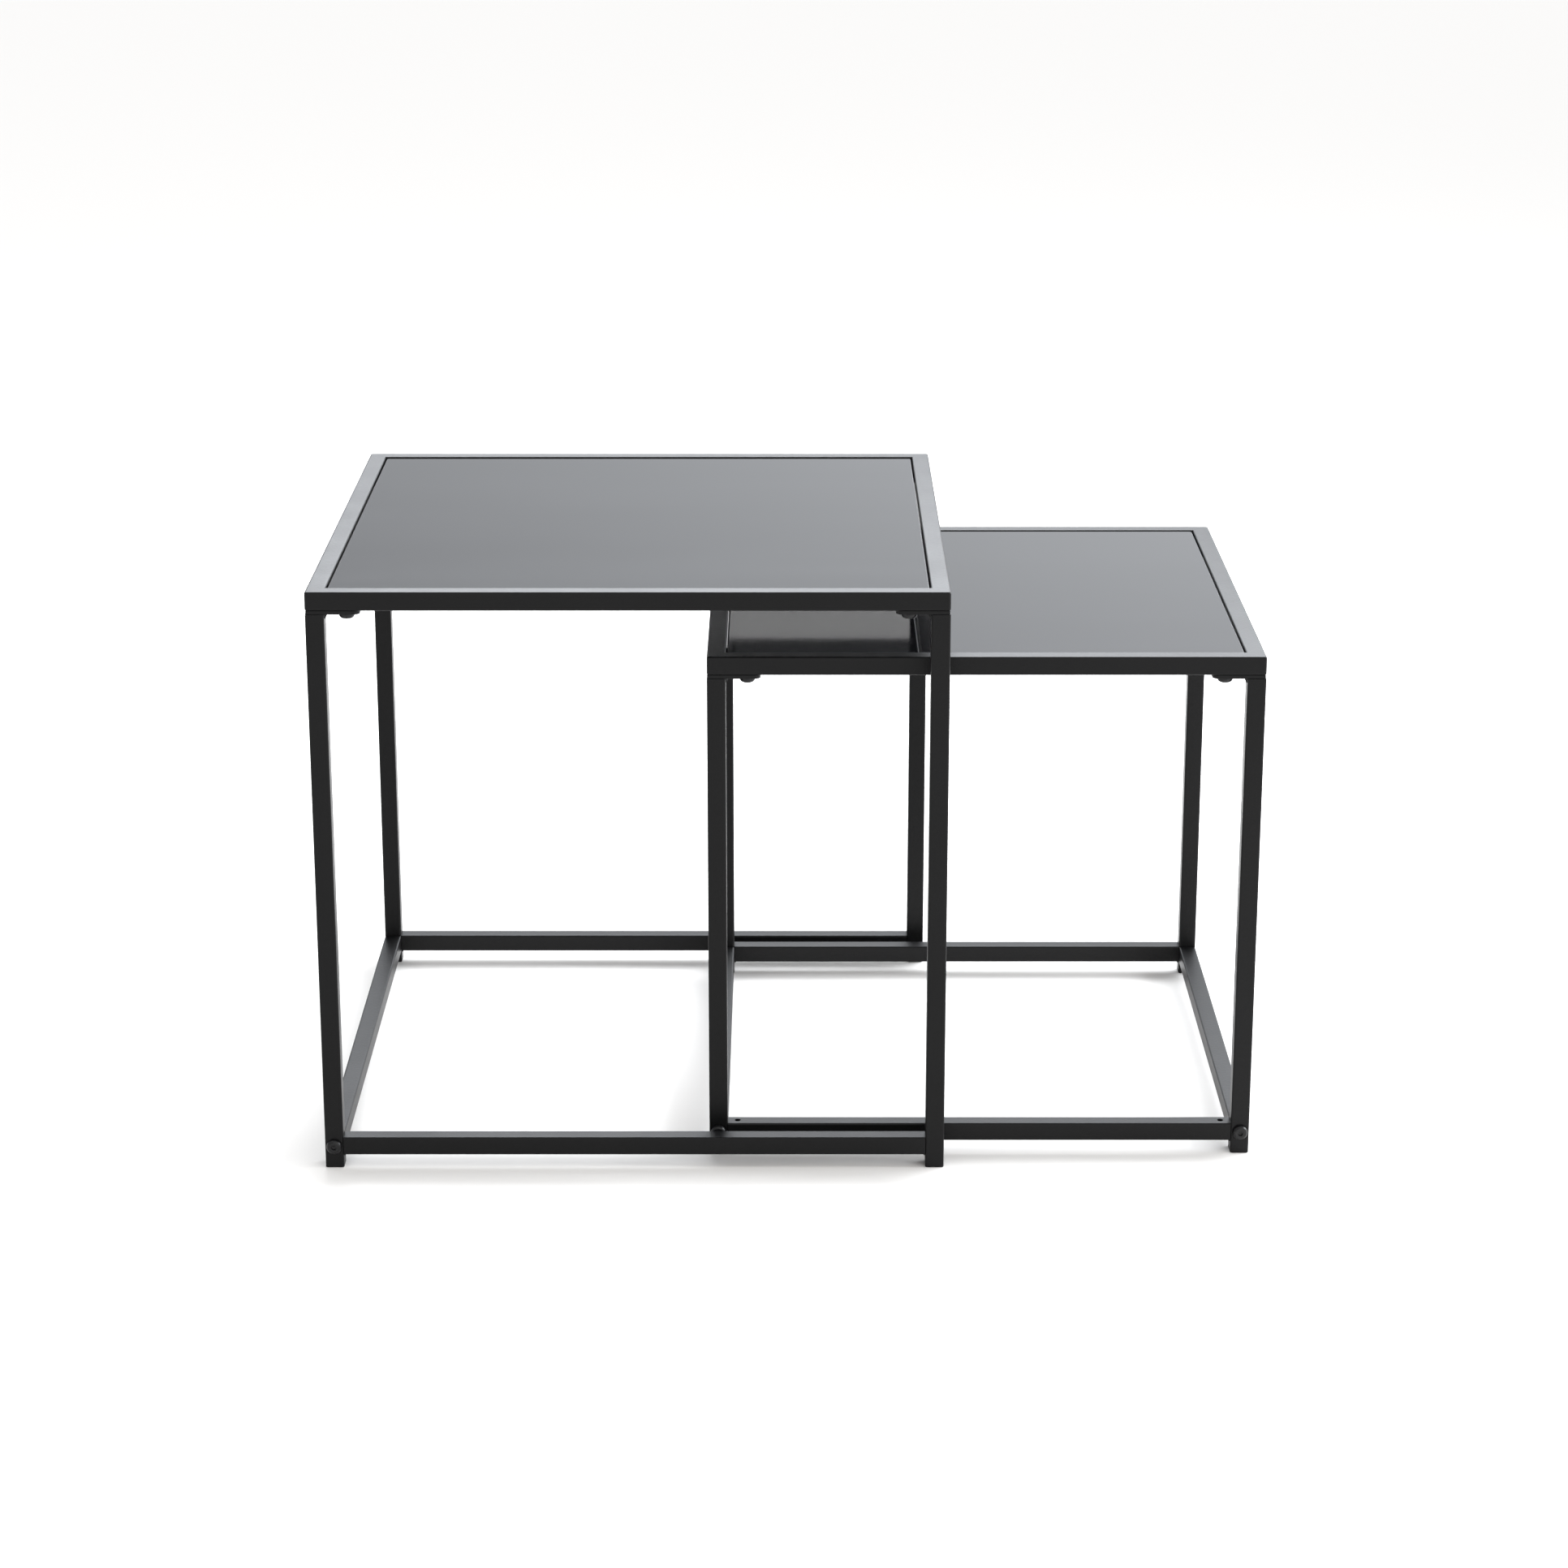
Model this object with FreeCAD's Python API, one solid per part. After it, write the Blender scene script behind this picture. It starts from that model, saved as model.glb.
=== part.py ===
import FreeCAD, Part
import math
import os

# Two square nesting tables in welded steel tube, with glossy panels let into their tops.
# The smaller (inner) table stands drawn part-way out, to the right, from under the larger (outer) one.
# Millimetres. X runs left to right, Y front to back, Z up. The origin is on the floor, at the middle of
# the ground that the two tables cover together.

# ---------------------------------------------------------------- driving dimensions
# outer table, over its tubes
outer_width = 500.0
outer_depth = 500.0
outer_height = 480.0

# how the inner table nests
side_clearance = 15.0       # from the inner table's legs to the outer table's, front and back
height_step = 60.0          # inner top below outer top
pull_out = 250.0            # how far the inner table stands out past the outer table's right side

# square tube, used for every bar, leg and rail
tube_size = 15.0
tube_wall = 1.2
tube_corner = 1.5           # outside corner radius of the tube
frame_corner = 2.0          # upright corners of the top frame, ground round after welding

# panel let into the top frame
panel_thickness = 8.0
panel_gap = 1.2             # open slit between panel and bars
panel_corner = 2.5
panel_edge = 0.8            # rounding along the panel's edges
outer_panel_recess = 1.1    # panel top below the bars' top
inner_panel_recess = 0.8

# corner supports under the panel, and the pads on them
support_length = 50.0       # along each bar
support_tip = 6.0           # blunt end at each bar
support_thickness = 2.0
pad_diameter = 10.0
pad_thickness = 1.0
pad_inset = 18.0            # from each bar's inner face to the pad's middle

# flange plate welded on top of each leg
plate_thickness = 3.0
plate_length = 42.5         # from the table's side, along the front or back bar
plate_inset = 0.5           # plate edge in from the tube's face
plate_end_radius = 5.0

# button-head screws and bolts
thread_diameter = 6.0
thread_fit = 0.05           # radial, thread to nut
hole_clearance = 0.3        # radial, thread to plain hole
head_diameter = 12.5
head_height = 3.9
head_rim = 0.8              # straight edge of the head, before its rounding
head_flat = 8.6             # flat end of the head, inside its rounding
socket_width = 4.0          # hexagon, across flats
socket_depth = 2.2
screw_station = 32.0        # plate screw from the table's side
screw_grip = 9.0            # length of screw or bolt held in its thread

# threaded insert in the top bars
insert_wall = 1.2
insert_length = 11.0
insert_fit = 0.05           # radial, insert to its hole
collar_height = 2.5         # swelled ring that grips the tube wall from inside
collar_gap = 0.3            # between that ring and the tube's side walls

# floor rails
rail_lift = 11.0            # underside of the rails above the floor
plug_length = 14.0          # threaded end plug in a bolted rail
plug_fit = 0.05             # plug to tube bore, each side
drain_diameter = 5.0
drain_station = 23.0        # drain hole from the table's side

# foot cap pressed into each leg
foot_thickness = 2.5
foot_edge = 0.8
foot_plug_wall = 1.6
foot_plug_gap = 1.0         # from the plug's top to the rail bolt above it

# weld beads
plate_bead_reach = 2.0      # along the plate
plate_bead_drop = 4.0       # down the leg
rail_bead_size = 2.0        # along the rail and down the leg
bead_crown = 0.15           # outward swell of the bead's face, as a share of its chord

# two directions closer than this count as parallel, as the cosine of their angle
parallel = 0.999

# ---------------------------------------------------------------- derived dimensions
tube_middle = tube_size / 2
tube_bore = tube_size - 2 * tube_wall
inner_width = outer_width - 2 * (tube_size + side_clearance)
inner_depth = outer_depth - 2 * (tube_size + side_clearance)
inner_height = outer_height - height_step
overall_length = outer_width + pull_out
insert_diameter = thread_diameter + 2 * (thread_fit + insert_wall)
collar_diameter = tube_bore - 2 * collar_gap
bolt_height = rail_lift + tube_middle
foot_plug_length = bolt_height - thread_diameter / 2 - foot_plug_gap - foot_thickness

X_AXIS = FreeCAD.Vector(1, 0, 0)
Y_AXIS = FreeCAD.Vector(0, 1, 0)
Z_AXIS = FreeCAD.Vector(0, 0, 1)
ORIGIN = FreeCAD.Vector(0, 0, 0)

ENDS = ("front", "back")
SIDES = ("left", "right")


class Table:
    """One table's own sizes, and where it stands."""

    def __init__(self, name, left, width, depth, height, panel_recess, bolted_rails, drained_rails):
        self.name = name
        self.left = left
        self.right = left + width
        self.front = -depth / 2
        self.back = depth / 2
        self.width = width
        self.depth = depth
        self.height = height
        self.panel_recess = panel_recess
        self.bolted_rails = bolted_rails        # sides that have a floor rail
        self.drained_rails = drained_rails      # welded rails with drain holes in their upper face
        self.bar_bottom = height - tube_size
        self.plate_bottom = self.bar_bottom - plate_thickness
        self.panel_bottom = height - panel_recess - panel_thickness

    def corners(self):
        """The four leg corners, as end and side names."""
        return [(end, side) for end in ENDS for side in SIDES]

    def at_corner(self, shape, end, side):
        """Moves a shape from the corner frame to one corner of the table.

        The corner frame has its origin at the table's outer corner on the floor, with X and Y running
        in towards the table's middle.
        """
        placed = shape
        if side == "right":
            placed = placed.mirror(ORIGIN, X_AXIS)
        if end == "back":
            placed = placed.mirror(ORIGIN, Y_AXIS)
        x = self.left if side == "left" else self.right
        y = self.front if end == "front" else self.back
        return placed.translated(FreeCAD.Vector(x, y, 0))


# ---------------------------------------------------------------- shared shapes
def edges_along(shape, axis):
    """The shape's straight edges that run along an axis."""
    return [edge for edge in shape.Edges if abs(edge.tangentAt(edge.FirstParameter).dot(axis)) > parallel]


def prism(points, bottom, height):
    """An upright prism on a flat outline of (x, y) points."""
    corners = [FreeCAD.Vector(x, y, bottom) for x, y in points]
    return Part.Face(Part.makePolygon(corners + corners[:1])).extrude(Z_AXIS * height)


def square_bar(corner, length, axis, size, radius):
    """A solid square bar that starts at its lowest corner and runs along an axis."""
    extent = [length if direction == axis else size for direction in (X_AXIS, Y_AXIS, Z_AXIS)]
    bar = Part.makeBox(*extent, corner)
    return bar.makeFillet(radius, edges_along(bar, axis)) if radius else bar


def square_tube(corner, length, axis):
    """A square tube with rounded outside corners, open at both ends."""
    to_bore = FreeCAD.Vector(tube_wall, tube_wall, tube_wall) - axis * tube_wall
    outside = square_bar(corner, length, axis, tube_size, tube_corner)
    return outside.cut(square_bar(corner + to_bore, length, axis, tube_bore, 0))


def button_screw(length):
    """A button-head screw along +Z, with its head's seat at the origin and the head below it."""
    radius = head_diameter / 2
    crown = FreeCAD.Vector(0, 0, -head_height)
    flat_edge = FreeCAD.Vector(head_flat / 2, 0, -head_height)
    shoulder = FreeCAD.Vector(radius, 0, -head_rim)
    seat = FreeCAD.Vector(radius, 0, 0)
    rounding_height = head_height - head_rim
    rounding_width = radius - head_flat / 2
    rounding = (rounding_height ** 2 + rounding_width ** 2) / (2 * rounding_width)
    halfway = math.asin(rounding_height / rounding) / 2
    to_halfway = FreeCAD.Vector(math.cos(halfway) - 1, 0, -math.sin(halfway)) * rounding
    outline = Part.Wire([
        Part.Arc(flat_edge, shoulder + to_halfway, shoulder).toShape(),
        Part.makeLine(shoulder, seat),
        Part.makeLine(seat, ORIGIN),
        Part.makeLine(ORIGIN, crown),
        Part.makeLine(crown, flat_edge),
    ])
    head = Part.Face(outline).revolve(ORIGIN, Z_AXIS, 360)
    socket = hexagon_around(socket_width, crown, socket_depth)
    shank = Part.makeCylinder(thread_diameter / 2, length, ORIGIN)
    return head.cut(socket).fuse(shank).removeSplitter()


def hexagon_around(width, base, height):
    """A hexagonal prism along +Z, given its width across flats."""
    corner_radius = width / math.sqrt(3)
    rim = [
        base + FreeCAD.Rotation(Z_AXIS, 60 * turn).multVec(X_AXIS * corner_radius)
        for turn in range(6)
    ]
    return Part.Face(Part.makePolygon(rim + rim[:1])).extrude(Z_AXIS * height)


def weld_bead(reach, drop, top):
    """A fillet weld in the corner frame, between a leg's inner face and a flat underside at a height."""
    flat = tube_size - 2 * tube_corner
    root = FreeCAD.Vector(tube_size, tube_corner, top)
    toe = root + X_AXIS * reach
    heel = root - Z_AXIS * drop
    chord = heel - toe
    outward = FreeCAD.Vector(drop, 0, -reach).normalize()
    crown = (toe + heel) / 2 + outward * chord.Length * bead_crown
    outline = Part.Wire([
        Part.makeLine(root, toe),
        Part.Arc(toe, crown, heel).toShape(),
        Part.makeLine(heel, root),
    ])
    return Part.Face(outline).extrude(Y_AXIS * flat)


# ---------------------------------------------------------------- top frame and panel
def top_bar(table, side):
    """One mitred bar of the top frame, with holes below for its threaded inserts."""
    left, right, front, back = table.left, table.right, table.front, table.back
    starts = {
        "front": (left, front, X_AXIS, table.width),
        "back": (left, back - tube_size, X_AXIS, table.width),
        "left": (left, front, Y_AXIS, table.depth),
        "right": (right - tube_size, front, Y_AXIS, table.depth),
    }
    x, y, axis, length = starts[side]
    bar = square_tube(FreeCAD.Vector(x, y, table.bar_bottom), length, axis)

    outside = {"front_left": (left, front), "front_right": (right, front),
               "back_right": (right, back), "back_left": (left, back)}
    inside = {"front_left": (left + tube_size, front + tube_size),
              "front_right": (right - tube_size, front + tube_size),
              "back_right": (right - tube_size, back - tube_size),
              "back_left": (left + tube_size, back - tube_size)}
    first, second = {"front": ("front_left", "front_right"), "right": ("front_right", "back_right"),
                     "back": ("back_right", "back_left"), "left": ("back_left", "front_left")}[side]
    mitre = prism([outside[first], outside[second], inside[second], inside[first]],
                  table.bar_bottom, tube_size)
    rounded = prism([outside[name] for name in outside], table.bar_bottom, tube_size)
    rounded = rounded.makeFillet(frame_corner, edges_along(rounded, Z_AXIS))
    bar = bar.common(mitre).common(rounded)

    if side in ENDS:
        for hand in SIDES:
            hole = Part.makeCylinder(insert_diameter / 2 + insert_fit, 2 * tube_wall,
                                     FreeCAD.Vector(screw_station, tube_middle, table.bar_bottom - tube_wall))
            bar = bar.cut(table.at_corner(hole, side, hand))
    return bar


def top_panel(table):
    """The panel, a slit's width clear of the bars all round."""
    inset = tube_size + panel_gap
    panel = Part.makeBox(table.width - 2 * inset, table.depth - 2 * inset, panel_thickness,
                         FreeCAD.Vector(table.left + inset, table.front + inset, table.panel_bottom))
    panel = panel.makeFillet(panel_corner, edges_along(panel, Z_AXIS))
    rims = [edge for face in panel.Faces if abs(face.normalAt(0, 0).dot(Z_AXIS)) > parallel
            for edge in face.Edges]
    return panel.makeFillet(panel_edge, rims)


def corner_support(table):
    """The flat gusset in a corner of the top frame, in the corner frame."""
    near, far, tip = tube_size, tube_size + support_length, tube_size + support_tip
    outline = [(near, near), (far, near), (far, tip), (tip, far), (near, far)]
    top = table.panel_bottom - pad_thickness
    return prism(outline, top - support_thickness, support_thickness)


def support_pad(table):
    """The soft pad on a corner support, in the corner frame."""
    middle = tube_size + pad_inset
    return Part.makeCylinder(pad_diameter / 2, pad_thickness,
                             FreeCAD.Vector(middle, middle, table.panel_bottom - pad_thickness))


# ---------------------------------------------------------------- leg frames
def leg(table, side):
    """A leg in the corner frame, drilled through where a rail is bolted to it."""
    post = square_tube(FreeCAD.Vector(0, 0, foot_thickness), table.plate_bottom - foot_thickness, Z_AXIS)
    if side in table.bolted_rails:
        hole = Part.makeCylinder(thread_diameter / 2 + hole_clearance, tube_size,
                                 FreeCAD.Vector(tube_middle, 0, bolt_height), Y_AXIS)
        post = post.cut(hole)
    return post


def leg_plate(table):
    """The flange plate on a leg's top, in the corner frame, with its screw hole."""
    width = tube_size - 2 * plate_inset
    plate = Part.makeBox(plate_length - plate_inset, width, plate_thickness,
                         FreeCAD.Vector(plate_inset, plate_inset, table.plate_bottom))
    free_end = [edge for edge in edges_along(plate, Z_AXIS)
                if edge.CenterOfMass.x > plate_length - plate_inset]
    plate = plate.makeFillet(min(plate_end_radius, width / 2 - plate_inset), free_end)
    hole = Part.makeCylinder(thread_diameter / 2 + hole_clearance, plate_thickness,
                             FreeCAD.Vector(screw_station, tube_middle, table.plate_bottom))
    return plate.cut(hole)


def foot_cap():
    """The plastic cap in a leg's lower end, in the corner frame: a flange below a hollow plug."""
    flange = square_bar(ORIGIN, foot_thickness, Z_AXIS, tube_size, tube_corner)
    sole = [edge for edge in flange.Edges if edge.BoundBox.ZMax < foot_edge]
    flange = flange.makeFillet(foot_edge, sole)
    inset = tube_wall + plug_fit
    size = tube_bore - 2 * plug_fit
    plug = square_bar(FreeCAD.Vector(inset, inset, foot_thickness), foot_plug_length, Z_AXIS, size, 0)
    inset += foot_plug_wall
    hollow = square_bar(FreeCAD.Vector(inset, inset, foot_thickness), foot_plug_length, Z_AXIS,
                        size - 2 * foot_plug_wall, 0)
    return flange.fuse(plug.cut(hollow)).removeSplitter()


def welded_rail(table, end):
    """The front or back floor rail, between the legs, with its drain holes if it has any."""
    y = table.front if end == "front" else table.back - tube_size
    rail = square_tube(FreeCAD.Vector(table.left + tube_size, y, rail_lift),
                       table.width - 2 * tube_size, X_AXIS)
    if end in table.drained_rails:
        for side in SIDES:
            hole = Part.makeCylinder(drain_diameter / 2, tube_size,
                                     FreeCAD.Vector(drain_station, tube_middle, bolt_height))
            rail = rail.cut(table.at_corner(hole, end, side))
    return rail


def bolted_rail(table, side):
    """A side floor rail, from the front leg's back face to the back leg's front face."""
    x = table.left if side == "left" else table.right - tube_size
    return square_tube(FreeCAD.Vector(x, table.front + tube_size, rail_lift),
                       table.depth - 2 * tube_size, Y_AXIS)


# ---------------------------------------------------------------- fasteners
def plate_screw(table):
    """The screw up through a leg plate, in the corner frame."""
    screw = button_screw(plate_thickness + screw_grip)
    return screw.translated(FreeCAD.Vector(screw_station, tube_middle, table.plate_bottom))


def frame_insert(table):
    """The threaded insert that a plate screw enters, in the corner frame."""
    base = FreeCAD.Vector(screw_station, tube_middle, table.bar_bottom)
    body = Part.makeCylinder(insert_diameter / 2, insert_length, base)
    collar = Part.makeCylinder(collar_diameter / 2, collar_height, base + Z_AXIS * tube_wall)
    thread = Part.makeCylinder(thread_diameter / 2 + thread_fit, insert_length, base)
    return body.fuse(collar).cut(thread).removeSplitter()


def rail_bolt():
    """The bolt through a leg into a side rail, in the corner frame."""
    bolt = button_screw(tube_size + screw_grip)
    bolt = bolt.rotated(ORIGIN, X_AXIS, -90)
    return bolt.translated(FreeCAD.Vector(tube_middle, 0, bolt_height))


def rail_plug():
    """The threaded plug in a side rail's end, in the corner frame."""
    inset = tube_wall + plug_fit
    size = tube_bore - 2 * plug_fit
    plug = square_bar(FreeCAD.Vector(inset, tube_size, rail_lift + inset), plug_length, Y_AXIS, size, 0)
    thread = Part.makeCylinder(thread_diameter / 2 + thread_fit, plug_length,
                               FreeCAD.Vector(tube_middle, tube_size, bolt_height), Y_AXIS)
    return plug.cut(thread)


# ---------------------------------------------------------------- assembly
def table_nodes(table):
    """Every piece of one table, by node name; like pieces that share a node come as a list."""
    nodes = {}
    every_corner = table.corners()
    bolted_corners = [(end, side) for end, side in every_corner if side in table.bolted_rails]

    for side in ENDS + SIDES:
        nodes[f"top_{side}_bar"] = [top_bar(table, side)]
    nodes["top_panel"] = [top_panel(table)]
    for end, side in every_corner:
        nodes[f"{end}_{side}_leg"] = [table.at_corner(leg(table, side), end, side)]
        nodes[f"{end}_{side}_leg_plate"] = [table.at_corner(leg_plate(table), end, side)]
        nodes[f"{end}_{side}_foot_cap"] = [table.at_corner(foot_cap(), end, side)]
    for end in ENDS:
        nodes[f"{end}_rail"] = [welded_rail(table, end)]
    for side in table.bolted_rails:
        nodes[f"{side}_rail"] = [bolted_rail(table, side)]

    repeated = {
        "corner_supports": (corner_support(table), every_corner),
        "panel_pads": (support_pad(table), every_corner),
        "plate_screws": (plate_screw(table), every_corner),
        "frame_inserts": (frame_insert(table), every_corner),
        "plate_welds": (weld_bead(plate_bead_reach, plate_bead_drop, table.plate_bottom), every_corner),
        "rail_welds": (weld_bead(rail_bead_size, rail_bead_size, rail_lift), every_corner),
        "rail_bolts": (rail_bolt(), bolted_corners),
        "rail_plugs": (rail_plug(), bolted_corners),
    }
    for name, (shape, corners) in repeated.items():
        nodes[name] = [table.at_corner(shape, end, side) for end, side in corners]
    return {f"{table.name}_{name}": shapes for name, shapes in nodes.items()}


def write_nodes(nodes):
    """Writes one STEP file per node."""
    for name, shapes in nodes.items():
        shape = shapes[0] if len(shapes) == 1 else Part.makeCompound(shapes)
        shape.exportStep(f"parts/{name}.step")


outer_table = Table("outer", -overall_length / 2, outer_width, outer_depth, outer_height,
                    outer_panel_recess, bolted_rails=("left",), drained_rails=())
inner_table = Table("inner", overall_length / 2 - inner_width, inner_width, inner_depth, inner_height,
                    inner_panel_recess, bolted_rails=("left", "right"), drained_rails=("front",))

os.makedirs("parts", exist_ok=True)
for each_table in (outer_table, inner_table):
    write_nodes(table_nodes(each_table))
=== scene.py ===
import logging
import math
from dataclasses import dataclass, field
from enum import Enum, StrEnum
from typing import Sequence

import bmesh
import bpy
from mathutils import Matrix, Vector


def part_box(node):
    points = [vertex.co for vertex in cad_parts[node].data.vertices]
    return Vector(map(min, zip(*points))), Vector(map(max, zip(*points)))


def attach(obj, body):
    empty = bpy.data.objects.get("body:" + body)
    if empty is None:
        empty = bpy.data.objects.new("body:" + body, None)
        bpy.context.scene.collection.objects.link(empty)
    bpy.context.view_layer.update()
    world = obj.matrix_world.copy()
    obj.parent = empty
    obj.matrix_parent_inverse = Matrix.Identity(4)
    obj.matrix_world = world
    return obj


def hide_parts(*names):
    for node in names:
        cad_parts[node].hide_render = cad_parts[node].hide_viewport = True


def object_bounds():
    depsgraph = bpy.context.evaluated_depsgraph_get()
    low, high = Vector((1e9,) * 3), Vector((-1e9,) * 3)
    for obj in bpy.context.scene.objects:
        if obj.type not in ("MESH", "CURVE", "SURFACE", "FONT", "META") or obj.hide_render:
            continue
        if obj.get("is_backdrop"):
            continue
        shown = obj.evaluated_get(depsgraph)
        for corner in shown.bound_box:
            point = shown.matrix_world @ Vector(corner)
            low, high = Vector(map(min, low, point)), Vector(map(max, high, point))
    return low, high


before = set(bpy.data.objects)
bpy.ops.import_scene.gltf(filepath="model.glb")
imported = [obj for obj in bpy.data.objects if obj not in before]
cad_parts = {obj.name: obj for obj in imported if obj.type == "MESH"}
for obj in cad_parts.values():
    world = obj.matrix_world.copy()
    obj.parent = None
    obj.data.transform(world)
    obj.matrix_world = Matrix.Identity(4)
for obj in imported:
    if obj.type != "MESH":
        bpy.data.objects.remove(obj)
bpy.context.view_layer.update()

MM = 0.001
log = logging.getLogger("nesting_tables")

Ring = list[Vector]
Outline = list[tuple[float, float]]
Colour = tuple[float, float, float]
Spread = tuple[float, float]


# ---- options
class End(StrEnum):
    """The two ends of a table along Y."""

    FRONT = "front"
    BACK = "back"


class Side(StrEnum):
    """The two sides of a table along X."""

    LEFT = "left"
    RIGHT = "right"


class Slot(Enum):
    """The record's material slots."""

    FRAME = "frame_powder_coat"
    PANEL = "panel_glass"
    FOOT = "foot_plastic"
    FASTENER = "black_fasteners"
    STEEL = "plated_steel"
    PAD = "pad_rubber"


# ---- finishes
class NodeSheet:
    """A material's node tree, laid out from scratch around one Principled shader."""

    ROUGHNESS_RANGE = (0.3, 0.7)  # the part of a noise's range that the roughness follows
    COLOUR_RANGE = (0.35, 0.65)  # the part that the colour follows
    EDGE_RANGE = (0.995, 0.9998)  # how level the surface is, from a ground edge to the polished face

    def __init__(self, name: str) -> None:
        """Starts an empty material with a shader wired to its output.

        Args:
            name: the material's name.
        """
        self.material = bpy.data.materials.new(name)
        self.material.use_nodes = True
        self.tree = self.material.node_tree
        self.tree.nodes.clear()
        self.shader = self.add("ShaderNodeBsdfPrincipled")
        output = self.add("ShaderNodeOutputMaterial")
        self.wire(self.shader, "BSDF", output, "Surface")

    def add(self, kind: str, **inputs: float | Sequence[float]) -> bpy.types.Node:
        """Adds a node and sets its inputs.

        Args:
            kind: the node's type name.
            inputs: values by input name, with underscores for spaces.

        Returns:
            The new node.
        """
        node = self.tree.nodes.new(kind)
        for name, value in inputs.items():
            node.inputs[name.replace("_", " ")].default_value = value
        return node

    def wire(self, source: bpy.types.Node, out: str, target: bpy.types.Node, into: str) -> None:
        """Links one node's output to another's input, each by its name."""
        self.tree.links.new(source.outputs[out], target.inputs[into])

    def set(self, **inputs: float | Sequence[float]) -> None:
        """Sets constants on the shader's own sockets, by input name with underscores for spaces."""
        for name, value in inputs.items():
            self.shader.inputs[name.replace("_", " ")].default_value = value

    def noise(self, per_metre: float, detail: float,
              stretch: tuple[float, float, float] | None = None) -> bpy.types.Node:
        """A noise pattern fixed to the piece.

        Args:
            per_metre: how many of its features fit in a metre.
            detail: octaves of finer noise.
            stretch: optional scale of the pattern along X, Y and Z.

        Returns:
            The noise node.
        """
        place, out = self.add("ShaderNodeTexCoord"), "Object"
        pattern = self.add("ShaderNodeTexNoise", Scale=per_metre, Detail=detail)
        if stretch is not None:
            mapping = self.add("ShaderNodeMapping", Scale=stretch)
            self.wire(place, out, mapping, "Vector")
            place, out = mapping, "Vector"
        self.wire(place, out, pattern, "Vector")
        return pattern

    def vary(self, pattern: bpy.types.Node, colours: Sequence[Colour], levels: Sequence[float]) -> None:
        """Varies the base colour and the roughness by a pattern.

        Args:
            pattern: the noise node.
            colours: the colour where the pattern is low, and where it is high.
            levels: the roughness where it is low, and where it is high.
        """
        ramp = self.add("ShaderNodeValToRGB")
        for stop, position, colour in zip(ramp.color_ramp.elements, self.COLOUR_RANGE, colours):
            stop.position, stop.color = position, (*colour, 1.0)
        self.wire(pattern, "Fac", ramp, "Fac")
        self.wire(ramp, "Color", self.shader, "Base Color")
        (start, stop), (low, high) = self.ROUGHNESS_RANGE, levels
        ranged = self.add("ShaderNodeMapRange", From_Min=start, From_Max=stop, To_Min=low, To_Max=high)
        self.wire(pattern, "Fac", ranged, "Value")
        self.wire(ranged, "Result", self.shader, "Roughness")

    def grind_edges(self, roughness: float) -> None:
        """Makes the surface rough wherever it leaves the level, over what its roughness was.

        Args:
            roughness: the ground edges' roughness.
        """
        facing = self.add("ShaderNodeNewGeometry")
        parts = self.add("ShaderNodeSeparateXYZ")
        steep = self.add("ShaderNodeMath")
        steep.operation = "ABSOLUTE"
        start, stop = self.EDGE_RANGE
        edge = self.add("ShaderNodeMapRange", From_Min=start, From_Max=stop, To_Min=roughness, To_Max=0.0)
        rougher = self.add("ShaderNodeMath")
        rougher.operation = "MAXIMUM"
        polished = self.shader.inputs["Roughness"].links[0].from_socket
        self.wire(facing, "Normal", parts, "Vector")
        self.wire(parts, "Z", steep, "Value")
        self.wire(steep, "Value", edge, "Value")
        self.tree.links.new(polished, rougher.inputs[0])
        self.tree.links.new(edge.outputs["Result"], rougher.inputs[1])
        self.wire(rougher, "Value", self.shader, "Roughness")

    def emboss(self, patterns: Sequence[tuple[bpy.types.Node, float]]) -> None:
        """Raises the surface by patterns, one bump after another.

        Args:
            patterns: noise nodes, each with its height in metres.
        """
        previous = None
        for pattern, height in patterns:
            bump = self.add("ShaderNodeBump", Strength=1.0, Distance=height)
            self.wire(pattern, "Fac", bump, "Height")
            if previous is not None:
                self.wire(previous, "Normal", bump, "Normal")
            previous = bump
        self.wire(previous, "Normal", self.shader, "Normal")


@dataclass(frozen=True)
class Finish:
    """A surface finish: what every one of them states, and how it becomes a material.

    Its main pattern varies the colour and the roughness between their spreads' shares of themselves,
    and raises the surface where the finish states a relief.
    """

    slot: Slot
    colour: Colour
    colour_spread: Spread
    roughness: float
    roughness_spread: Spread
    specular: float
    per_metre: float
    detail: float
    relief: float = 0.0
    metallic: float = 0.0
    stretch: tuple[float, float, float] | None = None

    def material(self) -> bpy.types.Material:
        """Makes this finish's material once.

        Returns:
            The material, the same one every time.
        """
        name = f"{self.slot.value}_finish"
        known = bpy.data.materials.get(name)
        if known is not None:
            return known
        sheet = NodeSheet(name)
        sheet.set(Specular_IOR_Level=self.specular, Metallic=self.metallic)
        self.lay(sheet)
        return sheet.material

    def lay(self, sheet: NodeSheet) -> None:
        """Lays the main pattern; some kinds of finish lay more over it.

        Args:
            sheet: the material's sheet.
        """
        pattern = sheet.noise(self.per_metre, self.detail, self.stretch)
        colours = [tuple(part * share for part in self.colour) for share in self.colour_spread]
        sheet.vary(pattern, colours, [self.roughness * share for share in self.roughness_spread])
        if self.relief > 0:
            sheet.emboss([(pattern, self.relief)])


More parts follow.
